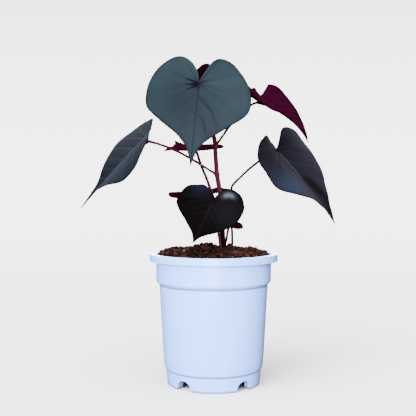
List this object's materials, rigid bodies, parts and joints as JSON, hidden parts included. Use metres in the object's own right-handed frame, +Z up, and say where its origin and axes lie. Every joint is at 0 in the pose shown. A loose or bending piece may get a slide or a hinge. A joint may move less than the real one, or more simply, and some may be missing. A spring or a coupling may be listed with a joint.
{
  "type": "potted sweet potato vine",
  "caption": "Young ornamental sweet potato vine with dark heart-shaped leaves on long stalks, standing in soil in a pale blue plastic nursery pot with a flanged rim.",
  "frame": {"origin": "on the pot's axis, at the surface that the pot stands on", "axes": "+Z up along the pot's axis, -Y towards the plant's front, +X to the right when it is seen from the front"},
  "size_m": [0.3103, 0.1779, 0.3804],
  "materials": {
    "pot_plastic": "satin injection-moulded plastic, pale lavender blue",
    "soil": "loose damp potting mix of bark and peat crumbs",
    "stem": "fleshy maroon stem, slightly glossy",
    "slate_leaf": "smooth leaf, slate blue-green with a soft sheen",
    "dark_leaf": "smooth leaf, purple-black with a bluish sheen",
    "maroon_leaf": "leaf seen from its underside, deep maroon"
  },
  "bodies": {
    "root": {"pot": "pot_plastic", "soil": "soil", "stem_main": "stem", "stalk_crown": "stem", "stalk_top": "stem", "stalk_left": "stem", "stalk_right": "stem", "stalk_upper": "stem", "stalk_front": "stem", "stalk_mid": "stem", "stalk_back": "stem", "stalk_low": "stem", "leaf_crown": "slate_leaf", "leaf_top": "maroon_leaf", "leaf_left": "dark_leaf", "leaf_right": "dark_leaf", "leaf_upper": "maroon_leaf", "leaf_front": "dark_leaf", "leaf_mid": "maroon_leaf", "leaf_back": "maroon_leaf", "leaf_low": "maroon_leaf"}
  },
  "joints": []
}
